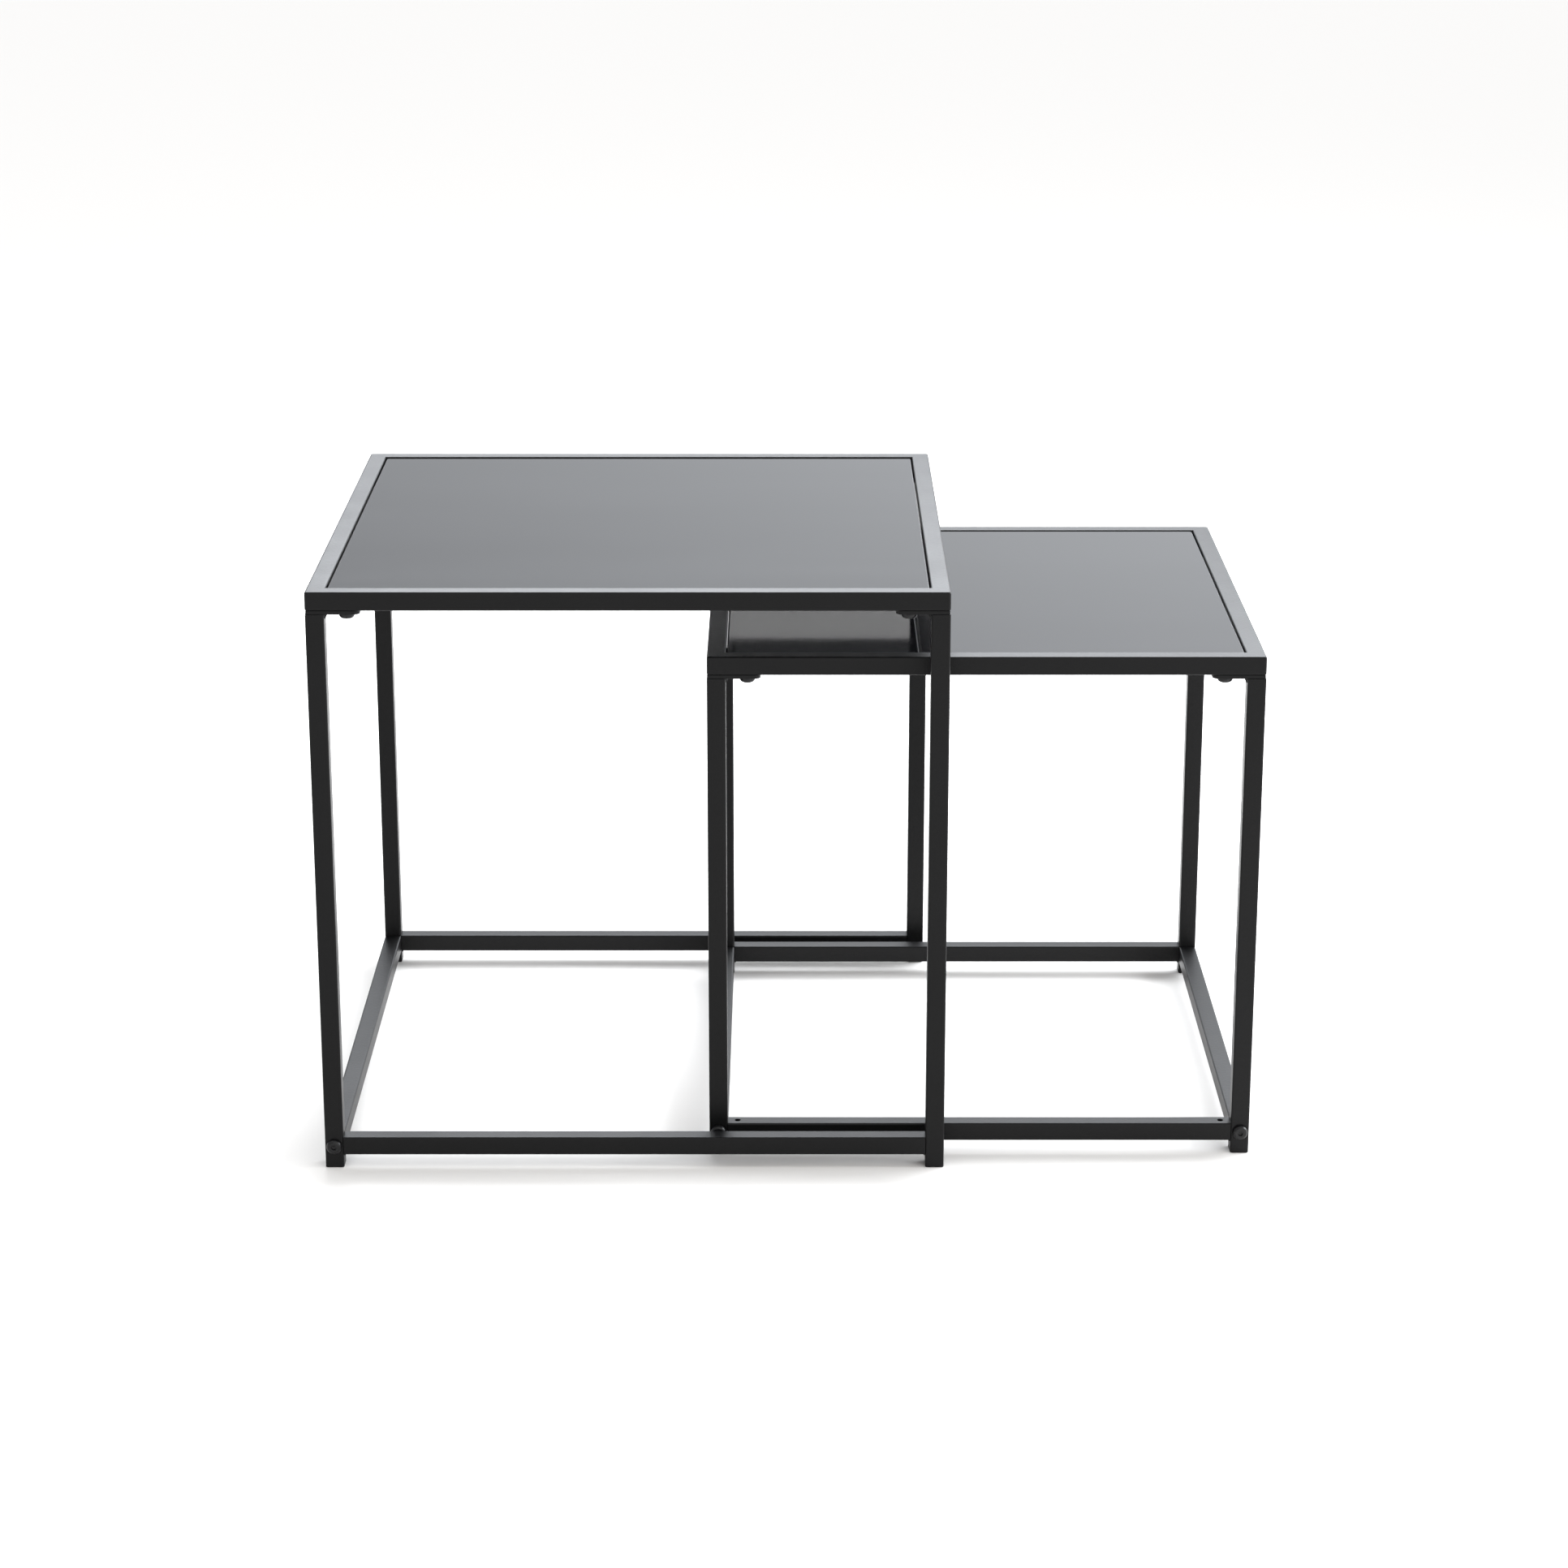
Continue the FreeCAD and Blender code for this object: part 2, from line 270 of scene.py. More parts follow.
@dataclass(frozen=True)
class PowderCoat(Finish):
    """Baked powder coat: slow clouds, with fine grain over a gentle orange peel."""

    slot: Slot = Slot.FRAME
    colour: Colour = (0.0030, 0.0030, 0.0032)
    colour_spread: Spread = (0.88, 1.12)
    roughness: float = 0.40
    roughness_spread: Spread = (0.94, 1.06)
    specular: float = 0.18
    per_metre: float = 16.0
    detail: float = 3.0
    grain_per_metre: float = 2600.0
    grain_height: float = 0.014 * MM
    peel_per_metre: float = 520.0
    peel_height: float = 0.085 * MM
    relief_detail: float = 1.0

    def lay(self, sheet: NodeSheet) -> None:
        """Lays grain and orange peel as relief over the clouds.

        Args:
            sheet: the material's sheet.
        """
        super().lay(sheet)
        grain = sheet.noise(self.grain_per_metre, self.relief_detail)
        peel = sheet.noise(self.peel_per_metre, self.relief_detail)
        sheet.emboss([(peel, self.peel_height), (grain, self.grain_height)])


@dataclass(frozen=True)
class BlackGlass(Finish):
    """Glossy black panel glass with ground edges, and the faint haze that wiping leaves."""

    slot: Slot = Slot.PANEL
    colour: Colour = (0.0045, 0.0045, 0.0052)
    colour_spread: Spread = (0.9, 1.15)
    roughness: float = 0.045
    roughness_spread: Spread = (0.7, 1.5)
    specular: float = 0.5
    per_metre: float = 9.0
    detail: float = 4.0
    stretch: tuple[float, float, float] | None = (0.35, 1.6, 1.0)
    edge_roughness: float = 0.6
    wave_per_metre: float = 14.0
    wave_detail: float = 0.0
    wave_height: float = 0.004 * MM

    def lay(self, sheet: NodeSheet) -> None:
        """Lays ground edges over the wipe haze, and a slight roll in the surface.

        Args:
            sheet: the material's sheet.
        """
        super().lay(sheet)
        sheet.grind_edges(self.edge_roughness)
        sheet.emboss([(sheet.noise(self.wave_per_metre, self.wave_detail), self.wave_height)])


@dataclass(frozen=True)
class MouldedPlastic(Finish):
    """Moulded foot plastic with a spark-eroded matt skin."""

    slot: Slot = Slot.FOOT
    colour: Colour = (0.0040, 0.0040, 0.0042)
    colour_spread: Spread = (0.85, 1.2)
    roughness: float = 0.50
    roughness_spread: Spread = (0.9, 1.1)
    specular: float = 0.18
    per_metre: float = 5200.0
    detail: float = 2.0
    relief: float = 0.012 * MM


@dataclass(frozen=True)
class BlackZinc(Finish):
    """Blackened zinc on the screws and bolts, with a cloudy bloom: a little shinier than the frame."""

    slot: Slot = Slot.FASTENER
    colour: Colour = (0.0035, 0.0035, 0.0040)
    colour_spread: Spread = (0.7, 1.4)
    roughness: float = 0.30
    roughness_spread: Spread = (0.8, 1.3)
    specular: float = 0.30
    per_metre: float = 900.0
    detail: float = 4.0
    relief: float = 0.003 * MM


@dataclass(frozen=True)
class PlatedSteel(Finish):
    """Spangled zinc-plated steel of the inserts and end plugs, inside the tubes."""

    slot: Slot = Slot.STEEL
    colour: Colour = (0.55, 0.55, 0.52)
    colour_spread: Spread = (0.85, 1.1)
    roughness: float = 0.35
    roughness_spread: Spread = (0.8, 1.2)
    specular: float = 0.5
    per_metre: float = 900.0
    detail: float = 3.0
    metallic: float = 1.0


@dataclass(frozen=True)
class PadRubber(Finish):
    """Soft black rubber of the pads under the panels, with fine pores."""

    slot: Slot = Slot.PAD
    colour: Colour = (0.022, 0.022, 0.022)
    colour_spread: Spread = (0.8, 1.2)
    roughness: float = 0.75
    roughness_spread: Spread = (0.9, 1.1)
    specular: float = 0.25
    per_metre: float = 3000.0
    detail: float = 2.0
    relief: float = 0.02 * MM


# ---- outlines
def rounded_outline(corners: Sequence[tuple[float, float, float]], steps: int) -> Outline:
    """A flat outline with rounded corners.

    Args:
        corners: each corner's x, y and radius, in order round the outline.
        steps: segments in each rounded corner.

    Returns:
        The outline's points.
    """
    points = []
    count = len(corners)
    for index, (x, y, radius) in enumerate(corners):
        here = Vector((x, y))
        before = (Vector(corners[index - 1][:2]) - here).normalized()
        after = (Vector(corners[(index + 1) % count][:2]) - here).normalized()
        if radius <= 0:
            points.append((x, y))
            continue
        half = before.angle(after) / 2
        middle = here + (before + after).normalized() * (radius / math.sin(half))
        reach = radius / math.tan(half)
        start = here + before * reach - middle
        sweep = start.angle_signed(here + after * reach - middle)
        for step in range(steps + 1):
            turned = start.copy()
            turned.rotate(Matrix.Rotation(-sweep * step / steps, 2))
            points.append(tuple(middle + turned))
    return points


def square_outline(width: float, depth: float, radius: float, steps: int) -> Outline:
    """A rectangle about the origin, each corner rounded to a radius in so many steps."""
    x, y = width / 2, depth / 2
    return rounded_outline([(-x, -y, radius), (x, -y, radius), (x, y, radius), (-x, y, radius)], steps)


def circle_outline(radius: float, steps: int) -> Outline:
    """A circle about the origin, as points."""
    turns = [math.tau * step / steps for step in range(steps)]
    return [(radius * math.cos(turn), radius * math.sin(turn)) for turn in turns]


def quarter_round(radius: float, steps: int) -> Outline:
    """A quarter round up from an underside, as points of distance in from the side and height."""
    turns = [math.radians(90) * step / steps for step in range(steps + 1)]
    return [(radius * (1 - math.sin(turn)), radius * (1 - math.cos(turn))) for turn in turns]


def hexagon_outline(across_flats: float, steps: int) -> Outline:
    """A hexagon about the origin, as points that line up with a circle's.

    Args:
        across_flats: distance between opposite flats.
        steps: points round it, a multiple of six.

    Returns:
        The outline's points.
    """
    points = []
    sector = math.tau / 6
    for step in range(steps):
        turn = math.tau * step / steps
        reach = across_flats / 2 / math.cos(turn % sector - sector / 2)
        points.append((reach * math.cos(turn), reach * math.sin(turn)))
    return points


# ---- mesh work
class Draft:
    """A mesh being built in metres in the shared frame, from one or more closed shells."""

    BREAK_TURN = math.radians(50)  # edges that turn more than this can be broken
    SHADE_TURN = math.radians(40)  # edges that turn more than this are shaded sharp

    def __init__(self) -> None:
        """Starts an empty mesh."""
        self.mesh = bmesh.new()

    def ring(self, outline: Outline, height: float, place: Matrix) -> Ring:
        """A flat outline placed at a height along a local frame's Z, in the shared frame."""
        return [place @ Vector((x, y, height)) for x, y in outline]

    def loft(self, rings: Sequence[Ring], hollow: bool = False) -> None:
        """Skins a row of rings with quads.

        Args:
            rings: rings with equal numbers of points.
            hollow: joins the last ring to the first, as a tube's wall does, in place of closing both ends.
        """
        rows = [[self.mesh.verts.new(point) for point in ring] for ring in rings]
        pairs = list(zip(rows, rows[1:]))
        if hollow:
            pairs.append((rows[-1], rows[0]))
        for low, high in pairs:
            for index in range(len(low)):
                following = (index + 1) % len(low)
                self.mesh.faces.new((low[index], low[following], high[following], high[index]))
        if not hollow:
            self.mesh.faces.new(rows[0])
            self.mesh.faces.new(rows[-1])

    def drill(self, bits: Sequence["Draft"]) -> None:
        """Cuts other drafts' shapes out of this one.

        Args:
            bits: drafts to cut away; they are used up.
        """
        body = self.park("drilled")
        tools = [bit.park("bit") for bit in bits]
        for tool in tools:
            cut = body.modifiers.new("cut", "BOOLEAN")
            cut.operation, cut.solver, cut.object = "DIFFERENCE", "EXACT", tool
        bpy.context.view_layer.update()
        result = body.evaluated_get(bpy.context.evaluated_depsgraph_get()).to_mesh()
        self.mesh = bmesh.new()
        self.mesh.from_mesh(result)
        for parked in [body, *tools]:
            data = parked.data
            bpy.data.objects.remove(parked)
            bpy.data.meshes.remove(data)

    def park(self, name: str) -> bpy.types.Object:
        """Turns the draft into a bare object for a moment's use.

        Args:
            name: the object's name.

        Returns:
            The object.
        """
        bmesh.ops.recalc_face_normals(self.mesh, faces=self.mesh.faces)
        data = bpy.data.meshes.new(name)
        self.mesh.to_mesh(data)
        self.mesh.free()
        parked = bpy.data.objects.new(name, data)
        bpy.context.scene.collection.objects.link(parked)
        return parked

    def soften(self, width: float, steps: int = 2) -> None:
        """Breaks the sharp edges.

        Args:
            width: how far the break reaches from each edge.
            steps: segments across the break.
        """
        bmesh.ops.recalc_face_normals(self.mesh, faces=self.mesh.faces)
        sharp = [edge for edge in self.mesh.edges
                 if len(edge.link_faces) == 2 and edge.calc_face_angle() > self.BREAK_TURN]
        bmesh.ops.bevel(self.mesh, geom=sharp, offset=width, segments=steps, profile=0.5,
                        affect="EDGES", clamp_overlap=True)

    def piece(self, name: str, finish: Finish, body: str, *nodes: str) -> None:
        """Makes the finished piece.

        Args:
            name: the piece's name.
            finish: its surface.
            body: the CAD body it moves with.
            nodes: the CAD nodes it stands for.
        """
        made = self.park(name)
        made.data.shade_smooth()
        made.data.set_sharp_from_angle(angle=self.SHADE_TURN)
        made.data.materials.append(finish.material())
        weighted = made.modifiers.new("flat faces stay flat", "WEIGHTED_NORMAL")
        weighted.keep_sharp = True
        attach(made, body)
        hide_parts(*nodes)
        log.info("%s: %d faces, stands for %s", name, len(made.data.polygons), ", ".join(nodes))


# ---- one table's layout
@dataclass
class Layout:
    """Where one table's main faces lie, read from its CAD nodes."""

    name: str
    left: float = field(init=False)
    right: float = field(init=False)
    front: float = field(init=False)
    back: float = field(init=False)
    bar_bottom: float = field(init=False)
    tube: float = field(init=False)

    def __post_init__(self) -> None:
        """Reads the faces from the top frame's bars."""
        left_low, left_high = self.box("top_left_bar")
        self.left, self.right = left_low.x, self.box("top_right_bar")[1].x
        self.front = self.box("top_front_bar")[0].y
        self.back = self.box("top_back_bar")[1].y
        self.bar_bottom = left_low.z
        self.tube = left_high.z - self.bar_bottom

    @property
    def body(self) -> str:
        """The CAD body that this table's pieces ride on."""
        return f"{self.name}_table"

    def node(self, part: str) -> str:
        """The CAD node's name for a part of this table."""
        return f"{self.name}_{part}"

    def box(self, part: str) -> tuple[Vector, Vector]:
        """The lowest and highest corners of one of this table's CAD nodes."""
        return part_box(self.node(part))

    def piece(self, draft: Draft, name: str, finish: Finish, part: str) -> None:
        """Makes a draft one of this table's pieces, in place of its CAD node for a part."""
        draft.piece(self.node(name), finish, self.body, self.node(part))

    def has(self, part: str) -> bool:
        """Whether this table has such a part."""
        return self.node(part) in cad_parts

    def at_corner(self, end: End, side: Side) -> Matrix:
        """The corner frame: origin at the outer corner on the floor, X and Y in towards the middle.

        Args:
            end: front or back.
            side: left or right.

        Returns:
            The corner frame in the shared frame.
        """
        x, inward_x = (self.left, 1) if side is Side.LEFT else (self.right, -1)
        y, inward_y = (self.front, 1) if end is End.FRONT else (self.back, -1)
        return Matrix.Translation((x, y, 0)) @ Matrix.Diagonal((inward_x, inward_y, 1, 1))

    def corners(self) -> list[tuple[End, Side]]:
        """All four corners."""
        return [(end, side) for end in End for side in Side]

    def corner_frames(self) -> list[Matrix]:
        """The corner frames of all four corners."""
        return [self.at_corner(end, side) for end, side in self.corners()]

    def bolted_corners(self) -> list[tuple[End, Side]]:
        """The corners where a side rail is bolted on."""
        return [(end, side) for end, side in self.corners() if self.has(f"{side}_rail")]


def along_axis(start: Vector, direction: Vector, up: Vector) -> Matrix:
    """A local frame whose Z runs along a direction.

    Args:
        start: its origin.
        direction: where its Z points.
        up: where its Y points, square to the direction.

    Returns:
        The local frame in the shared frame.
    """
    across = up.cross(direction)
    turned = Matrix((across, up, direction)).transposed().to_4x4()
    return Matrix.Translation(start) @ turned


UP = Vector((0, 0, 1))
ALONG_X = Vector((1, 0, 0))
ALONG_Y = Vector((0, 1, 0))


# ---- sub-assemblies
@dataclass
class TubeStock:
    """The square tube that every bar, leg and rail is cut from."""

    wall: float = 1.2 * MM
    corner: float = 1.5 * MM
    steps: int = 5

    def skins(self, size: float) -> tuple[Outline, Outline]:
        """The tube's outside and inside outlines, point for point.

        Args:
            size: the tube's outside size.

        Returns:
            The outside and inside outlines.
        """
        inside = size - 2 * self.wall
        return (square_outline(size, size, self.corner, self.steps),
                square_outline(inside, inside, self.corner - self.wall, self.steps))

    def straight(self, box: tuple[Vector, Vector], axis: int) -> Draft:
        """A straight open-ended tube that fills a box.

        Args:
            box: lowest and highest corners.
            axis: 0, 1 or 2 for a tube along X, Y or Z.

        Returns:
            The tube's draft.
        """
        low, high = box
        across = (axis + 1) % 3
        size = high[across] - low[across]
        direction, up = Vector((0, 0, 0)), Vector((0, 0, 0))
        direction[axis], up[across] = 1, 1
        start = (low + high) / 2
        start[axis] = low[axis]
        place = along_axis(start, direction, up)
        length = high[axis] - low[axis]
        outside, inside = self.skins(size)
        draft = Draft()
        draft.loft([draft.ring(outside, 0, place), draft.ring(outside, length, place),
                    draft.ring(inside, length, place), draft.ring(inside, 0, place)], hollow=True)
        return draft


@dataclass
class TopFrame:
    """The mitred frame round a panel, with its upright corners ground round."""

    layout: Layout
    stock: TubeStock
    finish: Finish
    corner: float = 2.0 * MM
    corner_steps: int = 5

    def inset_path(self, depth: float, length: float) -> Outline:
        """One lengthwise line of a bar, from mitre to mitre.

        Args:
            depth: how far the line lies in from the bar's outer face.
            length: the bar's length over its outer face.

        Returns:
            Points as (place along the bar, distance in from the outer face).
        """
        radius = self.corner
        run_in = self.layout.tube + self.corner
        start = [(run_in, depth)]
        for step in range(1, self.corner_steps + 1):
            share = step / self.corner_steps
            if depth < radius:
                turn = math.radians(45) * share
                reach = radius - depth
                start.append((radius - reach * math.sin(turn), radius - reach * math.cos(turn)))
            else:
                start.append((run_in + (depth - run_in) * share, depth))
        start.reverse()
        return start + [(length - along, inward) for along, inward in reversed(start)]

    def bar(self, start: Vector, direction: Vector, inward: Vector, length: float) -> Draft:
        """One mitred bar.

        Args:
            start: the frame's upright corner where the bar starts, at the bar's underside.
            direction: along the bar.
            inward: towards the middle of the table.
            length: the bar's length over its outer face.

        Returns:
            The bar's draft.
        """
        half = self.layout.tube / 2
        draft = Draft()
        skins = []
        for outline in self.stock.skins(self.layout.tube):
            lines = [(self.inset_path(x + half, length), y + half) for x, y in outline]
            count = len(lines[0][0])
            skins.append([
                [start + direction * path[index][0] + inward * path[index][1] + UP * height
                 for path, height in lines]
                for index in range(count)
            ])
        outside, inside = skins
        draft.loft(outside + inside[::-1], hollow=True)
        return draft

    def build(self) -> None:
        """Builds the four bars."""
        place = self.layout
        width, depth = place.right - place.left, place.back - place.front
        bars = {
            "front": (place.left, place.front, ALONG_X, ALONG_Y, width),
            "back": (place.left, place.back, ALONG_X, -ALONG_Y, width),
            "left": (place.left, place.front, ALONG_Y, ALONG_X, depth),
            "right": (place.right, place.front, ALONG_Y, -ALONG_X, depth),
        }
        for side, (x, y, direction, inward, length) in bars.items():
            draft = self.bar(Vector((x, y, place.bar_bottom)), direction, inward, length)
            place.piece(draft, f"{side}_bar", self.finish, f"top_{side}_bar")


@dataclass
class TopPanel:
    """The glossy panel let into the frame, with its gussets and pads."""

    layout: Layout
    glass: Finish
    coat: Finish
    rubber: Finish
    corner: float = 2.5 * MM
    corner_shrink: float = 0.5
    edge: float = 0.8 * MM
    corner_steps: int = 8
    edge_steps: int = 5
    support_length: float = 50.0 * MM
    support_tip: float = 6.0 * MM
    support_break: float = 0.25 * MM
    pad_radius: float = 5.0 * MM
    pad_edge: float = 0.2 * MM
    pad_steps: int = 32

    def build(self) -> None:
        """Builds the panel, the corner supports and the pads."""
        self.build_panel()
        self.build_supports()
        self.build_pads()

    def build_panel(self) -> None:
        """Builds the panel with a quarter-round along its upper and lower edges."""
        low, high = self.layout.box("top_panel")
        size = high - low
        place = Matrix.Translation((low + high) / 2 - UP * size.z / 2)
        profile = quarter_round(self.edge, self.edge_steps)
        profile += [(inset, size.z - height) for inset, height in reversed(profile)]
        draft = Draft()
        rings = []
        for inset, height in profile:
            outline = square_outline(size.x - 2 * inset, size.y - 2 * inset,
                                     self.corner - inset * self.corner_shrink, self.corner_steps)
            rings.append(draft.ring(outline, height, place))
        draft.loft(rings)
        self.layout.piece(draft, "panel", self.glass, "top_panel")

    def build_supports(self) -> None:
        """Builds the four gussets as one piece."""
        low, high = self.layout.box("corner_supports")
        near = low.x - self.layout.left
        far, tip = near + self.support_length, near + self.support_tip
        outline = [(near, near), (far, near), (far, tip), (tip, far), (near, far)]
        draft = Draft()
        for place in self.layout.corner_frames():
            draft.loft([draft.ring(outline, low.z, place), draft.ring(outline, high.z, place)])
        draft.soften(self.support_break)
        self.layout.piece(draft, "gussets", self.coat, "corner_supports")

    def build_pads(self) -> None:
        """Builds the four round pads between the gussets and the panel as one piece."""
        low, high = self.layout.box("panel_pads")
        middle = low.x + self.pad_radius - self.layout.left
        outline = circle_outline(self.pad_radius, self.pad_steps)
        draft = Draft()
        for corner in self.layout.corner_frames():
            place = corner @ Matrix.Translation((middle, middle, 0))
            draft.loft([draft.ring(outline, low.z, place), draft.ring(outline, high.z, place)])
        draft.soften(self.pad_edge)
        self.layout.piece(draft, "pads", self.rubber, "panel_pads")


@dataclass
class LegFrames:
    """The legs, their flange plates and foot caps, and the floor rails."""

    layout: Layout
    stock: TubeStock
    coat: Finish
    plastic: Finish
    bolt_hole_radius: float = 3.3 * MM
    plate_free_corner: float = 5.0 * MM
    plate_weld_corner: float = 1.0 * MM
    plate_break: float = 0.35 * MM
    plate_corner_steps: int = 6
    drain_hole_radius: float = 2.5 * MM
    drain_station: float = 23.0 * MM
    hole_steps: int = 32
    sole_edge: float = 0.8 * MM
    sole_steps: int = 4
    plug_gap: float = 0.05 * MM
    plug_corner: float = 0.3 * MM
    plug_lead: float = 1.0 * MM

    def build(self) -> None:
        """Builds every leg with its plate and cap, then the rails."""
        for end, side in self.layout.corners():
            self.build_leg(end, side)
            self.build_plate(end, side)
            self.build_cap(end, side)
        for end in End:
            self.build_welded_rail(end)
        for side in Side:
            if self.layout.has(f"{side}_rail"):
                self.build_tube(f"{side}_rail", 1, [])

    def round_bit(self, place: Matrix, radius: float, length: float) -> Draft:
        """A cylinder to drill with.

        Args:
            place: local frame, with the drill's axis along its Z.
            radius: the hole's radius.
            length: how far it reaches.

        Returns:
            The cylinder's draft.
        """
        outline = circle_outline(radius, self.hole_steps)
        bit = Draft()
        bit.loft([bit.ring(outline, 0, place), bit.ring(outline, length, place)])
        return bit

    def build_tube(self, part: str, axis: int, bits: Sequence[Draft]) -> None:
        """Builds a leg or a rail.

        Args:
            part: its CAD node's name, without the table's.
            axis: 0, 1 or 2 for one along X, Y or Z.
            bits: what is drilled out of it.
        """
        draft = self.stock.straight(self.layout.box(part), axis)
        if bits:
            draft.drill(bits)
        self.layout.piece(draft, f"{part}_tube", self.coat, part)

    def build_leg(self, end: End, side: Side) -> None:
        """Builds a leg, drilled where a rail bolts to it.

        Args:
            end: front or back.
            side: left or right.
        """
        part = f"{end}_{side}_leg"
        bits = []
        if (end, side) in self.layout.bolted_corners():
            rail_low, rail_high = self.layout.box(f"{side}_rail")
            middle = (rail_low + rail_high) / 2
            leg_low, leg_high = self.layout.box(part)
            start = Vector((middle.x, leg_low.y - self.stock.wall, middle.z))
            reach = leg_high.y - leg_low.y + 2 * self.stock.wall
            bits.append(self.round_bit(along_axis(start, ALONG_Y, UP), self.bolt_hole_radius, reach))
        self.build_tube(part, 2, bits)

    def build_plate(self, end: End, side: Side) -> None:
        """Builds the flange plate on a leg, round at its free end.

        Args:
            end: front or back.
            side: left or right.
        """
        part = f"{end}_{side}_leg_plate"
        low, high = self.layout.box(part)
        place = Matrix.Translation(((low.x + high.x) / 2, (low.y + high.y) / 2, low.z))
        if side is Side.RIGHT:
            place = place @ Matrix.Diagonal((-1, 1, 1, 1))
        x, y = (high.x - low.x) / 2, (high.y - low.y) / 2
        free, welded = self.plate_free_corner, self.plate_weld_corner
        outline = rounded_outline([(-x, -y, welded), (x, -y, free), (x, y, free), (-x, y, welded)],
                                  self.plate_corner_steps)
        draft = Draft()
        draft.loft([draft.ring(outline, 0, place), draft.ring(outline, high.z - low.z, place)])
        draft.soften(self.plate_break)
        self.layout.piece(draft, f"{end}_{side}_flange_plate", self.coat, part)

    def build_cap(self, end: End, side: Side) -> None:
        """Builds a foot cap: a soft-edged flange with its plug up inside the leg.

        Args:
            end: front or back.
            side: left or right.
        """
        part = f"{end}_{side}_foot_cap"
        low, high = self.layout.box(part)
        flange = self.layout.box(f"{end}_{side}_leg")[0].z - low.z
        size, top = high.x - low.x, high.z - low.z
        place = Matrix.Translation(((low.x + high.x) / 2, (low.y + high.y) / 2, low.z))
        plug = size - 2 * (self.stock.wall + self.plug_gap)
        profile = [(size - 2 * inset, height, self.stock.corner)
                   for inset, height in quarter_round(self.sole_edge, self.sole_steps)]
        profile += [(size, flange, self.stock.corner), (plug, flange, self.plug_corner),
                    (plug, top - self.plug_lead, self.plug_corner),
                    (plug - self.plug_lead, top, self.plug_corner)]
        draft = Draft()
        draft.loft([draft.ring(square_outline(width, width, corner, self.stock.steps), height, place)
                    for width, height, corner in profile])
        self.layout.piece(draft, f"{end}_{side}_foot", self.plastic, part)

    def build_welded_rail(self, end: End) -> None:
        """Builds the front or back rail, with the inner table's two drain holes in its front one.

        Args:
            end: front or back.
        """
        part = f"{end}_rail"
        bits = []
        if self.layout.name == "inner" and end is End.FRONT:
            height = self.layout.box(part)[1].z - 2 * self.stock.wall
            start = Matrix.Translation((self.drain_station, self.layout.tube / 2, height))
            for side in Side:
                place = self.layout.at_corner(end, side) @ start
                bits.append(self.round_bit(place, self.drain_hole_radius, 4 * self.stock.wall))
        self.build_tube(part, 0, bits)


@dataclass
class Fasteners:
    """The button-head screws and bolts, each with its hexagon socket.

    Each share is of the size that it is named after.
    """

    layout: Layout
    zinc: Finish
    head: float = 12.5 * MM
    head_height: float = 3.9 * MM
    head_flat: float = 8.6 * MM
    rim: float = 0.8 * MM
    edge_break: float = 0.25 * MM
    flat_break: float = 0.5 * MM
    flat_break_share: tuple[float, float] = (0.3, 0.06)
    socket: float = 4.0 * MM
    socket_depth: float = 2.2 * MM
    socket_floor_share: float = 0.94
    socket_point_share: float = 0.2
    socket_depth_floor_share: float = 0.9
    socket_depth_point_share: float = 1.2
    thread: float = 6.0 * MM
    grip: float = 9.0 * MM
    steps: int = 48
    round_steps: int = 7

    def head_profile(self) -> Outline:
        """The head's rounded side, from its flat end to its rim.

        Returns:
            Points as (radius, height along the screw).
        """
        radius, rise = self.head / 2, self.head_height - self.rim
        inward = radius - self.head_flat / 2
        curve = (rise ** 2 + inward ** 2) / (2 * inward)
        whole = math.asin(rise / curve)
        points = []
        for step in range(self.round_steps + 1):
            turn = whole * (1 - step / self.round_steps)
            points.append((radius - curve * (1 - math.cos(turn)), -self.rim - curve * math.sin(turn)))
        reach, height = points[0]
        inward, onward = (self.flat_break * share for share in self.flat_break_share)
        return [(reach - self.flat_break, -self.head_height), (reach - inward, height + onward), *points[1:]]

    def screw(self, draft: Draft, place: Matrix, length: float) -> None:
        """Adds one screw to a draft, its head's seat at the local origin and its shank along local Z.

        Args:
            draft: the draft to add to.
            place: local frame.
            length: the shank's length.
        """
        lip = self.socket / math.sqrt(3) + self.edge_break
        socket = [
            (self.socket * self.socket_point_share, self.socket_depth * self.socket_depth_point_share),
            (self.socket * self.socket_floor_share, self.socket_depth),
            (self.socket, self.socket_depth * self.socket_depth_floor_share),
            (self.socket, self.edge_break),
        ]
        rim, thread = self.head / 2, self.thread / 2
        sides = [
            (lip, -self.head_height), *self.head_profile(),
            (rim, -self.edge_break), (rim - self.edge_break, 0.0),
            (thread, 0.0), (thread, length - self.rim), (thread - self.rim, length),
        ]
        rings = [(hexagon_outline(width, self.steps), -self.head_height + depth) for width, depth in socket]
        rings += [(circle_outline(radius, self.steps), height) for radius, height in sides]
        draft.loft([draft.ring(outline, height, place) for outline, height in rings])

    def build(self) -> None:
        """Builds the plate screws and the rail bolts."""
        low, high = self.layout.box("plate_screws")
        across = low.x + self.head / 2 - self.layout.left
        seat = self.layout.box("front_left_leg_plate")[0].z
        draft = Draft()
        for corner in self.layout.corner_frames():
            place = corner @ Matrix.Translation((across, self.layout.tube / 2, seat))
            self.screw(draft, place, high.z - seat)
        self.layout.piece(draft, "screws", self.zinc, "plate_screws")

        low, high = self.layout.box("left_rail")
        height = (low.z + high.z) / 2
        draft = Draft()
        for end, side in self.layout.bolted_corners():
            corner = self.layout.at_corner(end, side)
            place = corner @ along_axis(Vector((self.layout.tube / 2, 0, height)), ALONG_Y, UP)
            self.screw(draft, place, self.layout.tube + self.grip)
        self.layout.piece(draft, "bolts", self.zinc, "rail_bolts")


